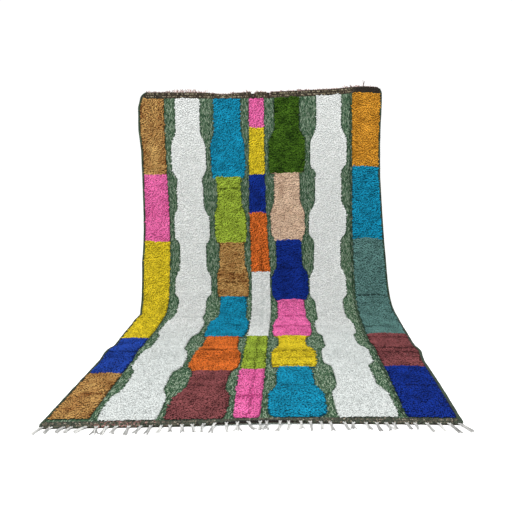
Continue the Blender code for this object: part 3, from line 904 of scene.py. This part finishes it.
def ground_tufts(finish, seed):
    """Short tufts between the columns, lower than the pile."""
    dice = np.random.default_rng(seed)
    across, down = knot_places(GROUND_PITCH, GROUND_ROW)
    left, right = half_widths(down)
    keep = (across > -left + SELVAGE * 0.7) & (across < right - SELVAGE * 0.7)
    columns = pile_columns(down)
    # painted shade: tufts beside the taller pile, and in a line along the outer right column's inner
    # edge, are darker and lit less
    shade_beside_pile = 0.9 * (np.abs(across - columns["outer_right"][0] + 0.008) < 0.013)
    for start, end in columns.values():
        keep &= (across < start + 0.001) | (across > end - 0.001)
        from_pile = np.minimum(np.abs(across - start), np.abs(across - end))
        shade_beside_pile = np.maximum(shade_beside_pile, 0.75 * np.exp(-(from_pile / 0.007) ** 2))
    across, down, shade_beside_pile = across[keep], down[keep], shade_beside_pile[keep]
    across = across + dice.normal(0.0, GROUND_STRAY[0], len(across))
    down = down + dice.normal(0.0, GROUND_STRAY[1], len(down))
    gathered = Gathered()
    stand_locks(gathered, across, down, GROUND_CLOTH - TUFT_ROOT, GROUND_LOCK, dice,
                0.2 * uneven(across, down, 0.06, seed), 1.0, 1.0, 0,
                dice.uniform(0.0, 1.0, len(across)) - 0.6 * shade_beside_pile, 1.0 - 0.9 * shade_beside_pile)
    return gathered.piece("ground_tufts", [finish])


# Corners between the parts of a row across the cloth, and into how many each is cut
SPANS = (1, 6, 3, 9, 3, 9, 3, 5, 3, 9, 3, 9, 3, 8, 1)


def woven_cloth(ground, backs, ground_back, band):
    """The cloth itself: one closed sheet whose lines of points follow the columns."""
    end_rows = np.array((0.0, 0.005, 0.018, 0.034, END_BAND))
    rows = np.unique(np.round(np.concatenate((
        end_rows, np.arange(END_BAND, RUG_LENGTH - END_BAND, 0.02), RUG_LENGTH - end_rows,
        [end for blocks in BLOCKS.values() for dye, end in blocks if end < FIELD_TO])), 4))
    left, right = half_widths(rows)
    columns = pile_columns(rows)
    corners = [-left]
    for start, end in columns.values():
        corners += [start, end]
    corners += [right]
    across = []
    for start, end, cuts in zip(corners, corners[1:], SPANS):
        across += [start + (end - start) * cut / cuts for cut in range(cuts)]
    across = np.stack((*across, corners[-1]), 1)
    down = np.repeat(rows[:, None], across.shape[1], 1)
    dyes = list(backs)
    owner = np.concatenate([np.full(cuts, span) for span, cuts in enumerate(SPANS)])
    between = (rows[1:] + rows[:-1]) / 2
    in_field = (between > END_BAND) & (between < RUG_LENGTH - END_BAND)
    back_finish = np.ones((len(rows) - 1, len(owner)), int)
    for number, name in enumerate(columns):
        blocks = blocks_at(name, between, 0.0)
        dye = np.array([dyes.index(BLOCKS[name][block][0]) for block in blocks]) + 2
        mine = owner == 2 * number + 1
        back_finish[:, mine] = np.where(in_field, dye, 1)[:, None]
    # top and underside
    faces, flat = grid_faces(*across.shape)
    flat = flat * (0.98, 0.47) + (0.01, 0.01)
    count = across.size
    place = np.stack((across, down), -1)
    gathered = Gathered()
    face_finish = np.repeat(np.where(in_field, 0, len(backs) + 2), across.shape[1] - 1)
    in_band = (down < END_BAND) | (down > RUG_LENGTH - END_BAND)
    # the cloth's top has a low reach, so the ground finish paints shade on it between the tufts
    gathered.add(lay(across, down, GROUND_CLOTH), faces, flat, face_finish,
                 np.where(in_band, -0.1, 0.35).ravel(), 0.1, place)
    gathered.add(lay(across, down, 0.0), faces[:, ::-1], flat[:, ::-1] + (0.0, 0.5),
                 back_finish.ravel(), 0.5, 0.5, place)
    # rim, in the band's yarn at both ends
    index = np.arange(count).reshape(across.shape)
    rim = np.concatenate((index[0, ::-1], index[1:, 0], index[-1, 1:], index[-2:0:-1, -1]))
    after = np.roll(rim, -1)
    edge = np.stack((rim, rim + count, after + count, after), -1)
    step = np.arange(len(rim)) / len(rim)
    flat = flat_quads(step, 0.975, step + 0.9 / len(rim), 0.995)
    here, there = down.ravel()[rim], down.ravel()[after]
    at_end = (np.minimum(here, there) > RUG_LENGTH - 0.001) | (np.maximum(here, there) < 0.001)
    gathered.join(edge, flat, np.where(at_end, len(backs) + 2, 1))
    return gathered.piece("rug_cloth", [ground, ground_back, *backs.values(), band])


def beads(gathered, centres, long, wide, high, aim, normal, shade, place, rings, sides,
          finish=0, band=(0.0, 1.0)):
    """Small rounded stitches or knots, each a lumpy egg along its aim."""
    number = len(centres)
    side = np.cross(aim, normal)
    parts = np.linspace(0, np.pi, rings + 2)
    spots = [centres - aim * long[:, None] / 2]
    for part in parts[1:-1]:
        for corner in range(sides):
            angle = 2 * np.pi * corner / sides
            spots.append(
                centres - aim * (np.cos(part) * long / 2)[:, None]
                + side * (np.sin(part) * np.cos(angle) * wide / 2)[:, None]
                + normal * (np.sin(part) * np.sin(angle) * high / 2)[:, None])
    spots.append(centres + aim * long[:, None] / 2)
    points = np.stack(spots, 1)
    each = points.shape[1]
    quads, quad_flat, tris, tri_flat = [], [], [], []
    for turn in range(sides):
        on = (turn + 1) % sides
        left, wide_part = turn / sides, 1 / sides
        tris.append((0, 1 + on, 1 + turn))
        tri_flat.append(((left + wide_part / 2, 0), (left + wide_part, 0.15), (left, 0.15)))
        last = 1 + (rings - 1) * sides
        tris.append((each - 1, last + turn, last + on))
        tri_flat.append(((left + wide_part / 2, 1), (left, 0.85), (left + wide_part, 0.85)))
        for ring in range(rings - 1):
            low, high_part = 0.15 + 0.7 * ring / (rings - 1), 0.15 + 0.7 * (ring + 1) / (rings - 1)
            first = 1 + ring * sides
            quads.append((first + turn, first + on, first + sides + on, first + sides + turn))
            quad_flat.append(((left, low), (left + wide_part, low),
                              (left + wide_part, high_part), (left, high_part)))
    finish = np.broadcast_to(finish, number)
    gathered.add(points, on_each(quads, number, each), in_cells(quad_flat, number, band),
                 np.repeat(finish, len(quads)), np.repeat(shade, each), 1.0,
                 np.repeat(place, each, 0))
    gathered.join(on_each(tris, number, each), in_cells(tri_flat, number, band),
                  np.repeat(finish, len(tris)), gathered.count - number * each)


def strands(gathered, paths, radius, shade, sides, band=(0.0, 1.0)):
    """Round strands of yarn. paths (n, steps, 3), radius (n, steps)."""
    number, steps = paths.shape[:2]
    aim = np.gradient(paths, axis=1)
    aim /= np.linalg.norm(aim, axis=2, keepdims=True)
    away = np.where(np.abs(aim[..., :1]) > 0.8, np.array((0.0, 0.0, 1.0)), np.array((1.0, 0.0, 0.0)))
    side = np.cross(aim, away)
    side /= np.linalg.norm(side, axis=2, keepdims=True)
    other = np.cross(aim, side)
    angles = 2 * np.pi * np.arange(sides) / sides
    points = (paths[:, :, None] + radius[:, :, None, None] * (
        side[:, :, None] * np.cos(angles)[:, None] + other[:, :, None] * np.sin(angles)[:, None]))
    each = steps * sides
    quads, flat = [], []
    for step in range(steps - 1):
        for turn in range(sides):
            on = (turn + 1) % sides
            first = step * sides
            quads.append((first + turn, first + sides + turn, first + sides + on, first + on))
            low, high = 0.9 * step / (steps - 1), 0.9 * (step + 1) / (steps - 1)
            left, right = turn / sides, (turn + 1) / sides
            flat.append(((left, low), (left, high), (right, high), (right, low)))
    caps = (range(sides), range(each - 1, each - 1 - sides, -1))
    ring = np.stack((np.cos(angles), np.sin(angles)), -1) * 0.04
    cap_flat = (ring + (0.25, 0.95), ring + (0.75, 0.95))
    gathered.add(points, on_each(quads, number, each), in_cells(flat, number, band), 0,
                 np.repeat(shade, each))
    gathered.join(on_each(caps, number, each), in_cells(cap_flat, number, band), 0,
                  gathered.count - number * each)


# Rows of stitches of both end bands, and the share of pale stitches in each row
TOP_BAND_ROWS = np.arange(0.004, 0.047, 0.0100)
TOP_BAND_PALE = (0.0, 0.5, 0.04, 0.5, 0.04)
FLOOR_BAND_ROWS = RUG_LENGTH - np.arange(0.003, 0.047, 0.0066)[::-1]
FLOOR_BAND_PALE = (0.05, 0.05, 0.45, 0.05, 0.05, 0.45, 0.05)
SECOND_YARN = (-0.59, 0.09)         # place across and spread of the stretch in the second yarn
STITCH_HEIGHT = 0.0048              # of a stitch's middle over the cloth's back


def stitch_band(name, downs, yarns, seed, pale_share, wide, high):
    """A woven end band: rows of small wrapped stitches, some of them pale, and where there is
    a second yarn, one stretch near the left corner in it."""
    dice = np.random.default_rng(seed)
    place, spread = SECOND_YARN
    rows = []
    for row, down in enumerate(downs):
        left, right = half_widths(np.array([down]))
        across = np.arange(-left[0] + 0.005, right[0] - 0.005, STITCH_PITCH)
        across = across + (row % 2) * STITCH_PITCH / 2 + dice.normal(0.0, 0.0007, len(across))
        pale = dice.uniform(0, 1, len(across)) < pale_share[row % len(pale_share)]
        shade = np.where(pale, dice.uniform(0.75, 1.0, len(across)),
                         dice.uniform(0.0, 0.62, len(across)))
        rows.append((across, np.full(len(across), down), shade,
                     np.full(len(across), 1.0 if row % 2 else -1.0)))
    across, down, shade, slant = (np.concatenate(part) for part in zip(*rows))
    down = down + dice.normal(0.0, 0.0006, len(down))
    if down[0] < RUG_LENGTH / 2:
        # the caught-up end was bound again in dark yarn, and painted shadow darkens the stitches in
        # the puckers
        dark = ease(across, 0.70, 0.76)
        for middle, width, depth in PUCKERS:
            dark = np.maximum(dark, np.exp(-((across - middle) / (1.5 * width)) ** 2))
        shade = shade * (1.0 - 0.9 * dark)
    else:
        # painted shadow under the curled edge: the last row's stitches turn near black, as deep gaps
        # between the knots
        shade = shade - 1.2 * (down > RUG_LENGTH - 0.012) * np.exp(-((across - 0.02) / 0.15) ** 2)
    number = len(across)
    along, up, right = cloth_frame(across, down)
    angle = (0.55 + dice.normal(0, 0.15, number)) * slant
    aim = np.cos(angle)[:, None] * right + np.sin(angle)[:, None] * along
    gathered = Gathered()
    beads(gathered, lay(across, down, STITCH_HEIGHT),
          dice.uniform(0.0095, 0.0120, number), wide * dice.uniform(0.9, 1.12, number),
          high * dice.uniform(0.85, 1.15, number), aim, up, shade,
          np.column_stack((across, down)), 3, 6,
          (dice.uniform(0, 1.8, number) < np.exp(-((across - place) / spread) ** 2)) * (
              len(yarns) - 1))
    return gathered.piece(name, yarns)


WRAP_ROW = 0.0034           # four rows of points to each turn of the yarn
WRAP_SIDES = 9


def selvage(name, side, yarn, seed):
    """The firm edge: two outer warps wrapped over and over with dark yarn."""
    dice = np.random.default_rng(seed)
    rows = np.arange(0.004, RUG_LENGTH - 0.004, WRAP_ROW)
    left, right = half_widths(rows)
    across = -left + SELVAGE * 0.5 if side < 0 else right - SELVAGE * 0.5
    lump = 0.0006 * uneven(rows * 0, rows, 0.03, seed)
    wrap = 0.00085 * np.sin(2 * np.pi * rows / (4 * WRAP_ROW))
    wrap = wrap + dice.normal(0, 0.00022, len(rows))
    angles = 2 * np.pi * np.arange(WRAP_SIDES) / WRAP_SIDES
    slant = np.cos(angles) * 0.0035 * side
    row = rows[:, None] + slant[None]
    grow = SELVAGE_GROWTH * ease(rows, *FULLER) * (side > 0)
    across = across - grow
    wide = (SELVAGE * 0.52 + lump + wrap + grow)[:, None]
    high = (0.0047 + lump + wrap)[:, None]
    points = lay(across[:, None] + wide * np.cos(angles) * side, row, 0.0052 + high * np.sin(angles))
    index = np.arange(len(rows) * WRAP_SIDES).reshape(-1, WRAP_SIDES)
    after = np.roll(index, -1, 1)
    faces = np.stack((index[:-1], index[1:], after[1:], after[:-1]), -1).reshape(-1, 4)
    if side < 0:
        faces = faces[:, ::-1]
    turn = np.arange(WRAP_SIDES) / WRAP_SIDES
    step = np.linspace(0, 1, len(rows))[:, None]
    flat = flat_quads(turn, step[:-1], turn + 0.9 / WRAP_SIDES, step[1:]).reshape(-1, 4, 2)
    if side < 0:
        flat = flat[:, ::-1]
    flat = flat * (0.98, 0.96) + (0.01, 0.01)
    shade = np.repeat(np.clip(0.35 + 0.3 * uneven(rows * 0, rows, 0.05, seed + 1)
                              + dice.uniform(-0.3, 0.3, len(rows)), 0, 1), WRAP_SIDES)
    gathered = Gathered()
    gathered.add(points, faces, flat, 0, shade, 1.0,
                 np.stack((np.broadcast_to(across[:, None], row.shape), row), -1))
    # the cut ends
    ring = np.stack((np.cos(angles), np.sin(angles)), -1) * 0.008
    ends = np.stack((index[0][::side], index[-1][::-side]))
    gathered.join(ends, np.stack((ring + (0.25, 0.985), ring + (0.75, 0.985))), 0)
    return gathered.piece(name, [yarn])


TASSELS = 40
TASSEL_LENGTH = 0.036
TAIL_YARNS = 3
LEG_RADIUS = 0.0034
TAIL_RADIUS = 0.0043
KNOT_SIZE = (0.0150, 0.0125, 0.0118)


def floor_tassels(yarn, seed):
    """Warp ends of the floor end: two legs, a knot and a loose tail of yarns on the floor."""
    dice = np.random.default_rng(seed)
    gathered = Gathered()
    left, right = half_widths(np.array([RUG_LENGTH - 0.01]))
    number = TASSELS
    roots = np.linspace(-left[0] + 0.012, right[0] - 0.010, number)
    roots = roots + dice.normal(0, 0.006, number)
    lean = np.interp(roots, (-0.95, -0.60, 0.5, 0.95), (-0.62, -0.20, 0.1, 0.50))
    lean = lean + dice.normal(0, 0.24, number)
    length = TASSEL_LENGTH * dice.uniform(0.7, 1.3, number)
    length[-2:] = 0.060
    edge = lay(roots, RUG_LENGTH, 0.0)
    aim = np.stack((np.sin(lean), -np.cos(lean), 0 * lean), -1)
    up = np.array((0.0, 0.0, 1.0))
    knot = edge + aim * 0.014 + up * 0.0062
    steps = 7
    share = np.linspace(0, 1, steps)[None, :, None]
    # legs from over the band's edge into the knot
    for leg in (-1.0, 1.0):
        start = lay(roots + leg * dice.uniform(0.004, 0.008, number), RUG_LENGTH - 0.001, 0.0060)
        over = edge + np.array((leg * 0.004, 0.001, 0.0100))
        path = ((1 - share) ** 2 * start[:, None] + 2 * share * (1 - share) * over[:, None]
                + share ** 2 * knot[:, None])
        strands(gathered, path, np.full((number, steps), LEG_RADIUS),
                dice.uniform(0.5, 1, number), 5, (0.0, 0.1) if leg < 0 else (0.1, 0.2))
    beads(gathered, knot, *(np.full(number, size) for size in KNOT_SIZE), aim,
          np.broadcast_to(up, aim.shape), dice.uniform(0.5, 1, number), edge[:, :2], 4, 7,
          band=(0.2, 0.3))
    # tail
    steps = 9
    share = np.linspace(0, 1, steps)[None, :]
    for yarn_number in range(TAIL_YARNS):
        spread = (yarn_number - (TAIL_YARNS - 1) / 2) * 0.0030
        fan = spread * (0.5 + 1.6 * share) + dice.normal(0, 0.002, (number, 1)) * share
        curl = dice.normal(0, 0.007, (number, 1)) * share ** 2
        along = length[:, None] * share * dice.uniform(0.82, 1.0, (number, 1))
        side = np.stack((np.cos(lean), np.sin(lean), 0 * lean), -1)
        path = (knot[:, None] + aim[:, None] * along[..., None]
                + side[:, None] * (fan + curl)[..., None])
        radius = TAIL_RADIUS * (1.0 - 0.25 * share) * np.ones((number, 1))
        lift = 0.0062 * (1 - share) ** 2 + dice.uniform(0, 0.004, (number, 1)) * np.sin(
            np.pi * share) + 0.0024
        path[..., 2] = FLOOR_LEVEL + lift
        strands(gathered, path, radius, dice.uniform(0.3, 1, number), 5,
                (0.3 + 0.22 * yarn_number, 0.3 + 0.22 * (yarn_number + 1)))
    return gathered.piece("fringe_floor_tassels", [yarn])


TOP_TUFTS = 520
# Where the top edge's tufts are fuller: place across, spread, extra height
FULL_TUFTS = ((-0.66, 0.07, 0.9), (-0.53, 0.05, 0.8), (-0.415, 0.016, 1.0), (-0.228, 0.010, 0.7),
              (-0.105, 0.010, 0.7), (0.657, 0.008, 1.3), (0.72, 0.007, 1.5), (0.805, 0.008, 1.4))


def top_tufts(yarn, seed):
    """Cut warp ends of the top edge: short, fuzzy and uneven."""
    dice = np.random.default_rng(seed)
    gathered = Gathered()
    left, right = half_widths(np.array([0.012]))
    number = TOP_TUFTS
    roots = np.sort(dice.uniform(-left[0] + 0.02, right[0] - 0.02, number))
    full = sum(extra * np.exp(-((roots - place) / spread) ** 2)
               for place, spread, extra in FULL_TUFTS)
    clump = 0.5 + 0.5 * uneven(roots, roots * 0, 0.03, seed)
    length = 0.006 + 0.010 * np.clip(clump, 0, 1) ** 2 + 0.022 * full
    length = length * dice.uniform(0.6, 1.2, number)
    lean = dice.normal(0, 0.55, number)
    start = lay(roots, 0.004, dice.uniform(0.002, 0.0055, number))
    steps = 6
    share = np.linspace(0, 1, steps)[None, :]
    curl = dice.normal(0, 0.006, (number, 1)) * share ** 2
    out = dice.normal(0.0, 0.004, (number, 1)) * share
    path = start[:, None] + np.stack((
        np.sin(lean)[:, None] * length[:, None] * share + curl, -np.abs(out),
        np.cos(lean)[:, None] * length[:, None] * share), -1)
    firm = full > 1.1
    radius = 0.0028 * (1.0 - 0.5 * share) * dice.uniform(0.7, 1.2, (number, 1))
    radius = radius * (1.0 + 0.5 * firm[:, None])
    strands(gathered, path, radius, dice.uniform(0, 1, number) * (1 - firm), 4)
    return gathered.piece("fringe_top_tufts", [yarn])


# The rug itself
pile_finishes = {dye: dyed_pile(dye) for dye in DYES}
back_finishes = {dye: knot_backs(dye, DYES[dye]) for dye in DYES}
ground = ground_wool()
ground_back = knot_backs("green_ground", "#4F6F57")
band_yarn = mixed_yarn("mixed_band_yarn", (
    "#120E0A", "#221B14", "#302A1F", "#3E3829", "#4B3D32", "#6B644F", "#9A927D"), 3.0)
floor_band_yarn = mixed_yarn("mixed_floor_band_yarn", (
    "#12110F", "#262720", "#323B2E", "#3C4236", "#4E4239", "#5F5A4C", "#9C9082"), 3.0)
rust_yarn = mixed_yarn("rust_band_yarn", ("#4A302C", "#7C5A53", "#A98780"), 3.0)
selvage_yarn = mixed_yarn("dark_selvage_yarn", ("#161C16", "#2C3A2A", "#46543F"), 3.0)
cream_yarn = mixed_yarn("cream_warp_yarn", ("#555553", "#8B8B89", "#BCBCB9"), 3.0)
tuft_yarn = mixed_yarn("faded_warp_yarn", ("#4A3C37", "#8C746E", "#CDB9B3"), 3.0)

cloth = woven_cloth(ground, back_finishes, ground_back, band_yarn)
riders = [pile_column(name, pile_finishes, 11 * number + 5) for number, name in enumerate(BLOCKS)]
riders.append(ground_tufts(ground, 401))
riders.append(stitch_band("top_band", TOP_BAND_ROWS, [band_yarn], 501, TOP_BAND_PALE,
                          0.0100, 0.0070))
riders.append(stitch_band("floor_band", FLOOR_BAND_ROWS, [floor_band_yarn, rust_yarn], 502,
                          FLOOR_BAND_PALE, 0.0063, 0.0100))
riders.append(selvage("selvage_left", -1, selvage_yarn, 601))
riders.append(selvage("selvage_right", 1, selvage_yarn, 602))
tassels = floor_tassels(cream_yarn, 701)
tufts = top_tufts(tuft_yarn, 702)
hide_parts("rug")
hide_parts("fringe_floor")
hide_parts("fringe_top")

# Floor, light and camera
FLOOR_SIZE = 60.0
LIGHT_AIM = (0.0, -0.5, -0.9)
WORLD_STRENGTH = 1.06
LENS_MM = 35.16
SENSOR_MM = 36.0
LENS_SHIFT = (-0.0605, -0.1216)
EYE = (0.21, -3.97, FLOOR_LEVEL + 1.226)
EYE_PITCH = 85.0            # degrees, 90 looks level


def pale_floor():
    """The floor that the rug is swept out over. It is pale and plain."""
    mesh = bpy.data.meshes.new("floor")
    half = FLOOR_SIZE / 2
    level = FLOOR_LEVEL - 0.0006
    mesh.from_pydata([(-half, -half, level), (half, -half, level), (half, half, level),
                      (-half, half, level)], [], [(0, 1, 2, 3)])
    finish, tree, shader = new_finish("pale_studio_floor")
    shader.inputs["Base Color"].default_value = linear("#FCFCFC")
    shader.inputs["Roughness"].default_value = 0.9
    shader.inputs["Specular IOR Level"].default_value = 0.1
    mesh.materials.append(finish)
    floor = bpy.data.objects.new("floor", mesh)
    bpy.context.scene.collection.objects.link(floor)


def soft_light(name, place, size, power):
    """A round lamp, aimed at the middle of the rug's sweep."""
    light = bpy.data.lights.new(name, "AREA")
    light.shape = "DISK"
    light.size = size
    light.energy = power
    item = bpy.data.objects.new(name, light)
    item.location = place
    aim = np.array(LIGHT_AIM) - np.array(place)
    item.rotation_mode = "QUATERNION"
    item.rotation_quaternion = Vector(aim).to_track_quat("-Z", "Y")
    bpy.context.scene.collection.objects.link(item)


pale_floor()
soft_light("key_light", (-1.6, -4.2, 2.6), 2.6, 240)
soft_light("fill_light", (2.8, -3.6, 1.2), 3.0, 85)
world = bpy.data.worlds.new("soft_studio")
world.use_nodes = True
world.node_tree.nodes["Background"].inputs["Color"].default_value = PALE
world.node_tree.nodes["Background"].inputs["Strength"].default_value = WORLD_STRENGTH
bpy.context.scene.world = world
bpy.context.scene.view_settings.view_transform = "Standard"

lens = bpy.data.cameras.new("camera")
lens.lens = LENS_MM
lens.sensor_width = SENSOR_MM
lens.shift_x, lens.shift_y = LENS_SHIFT
camera = bpy.data.objects.new("camera", lens)
camera.location = EYE
camera.rotation_euler = (math.radians(EYE_PITCH), 0.0, 0.0)
bpy.context.scene.collection.objects.link(camera)
bpy.context.scene.camera = camera
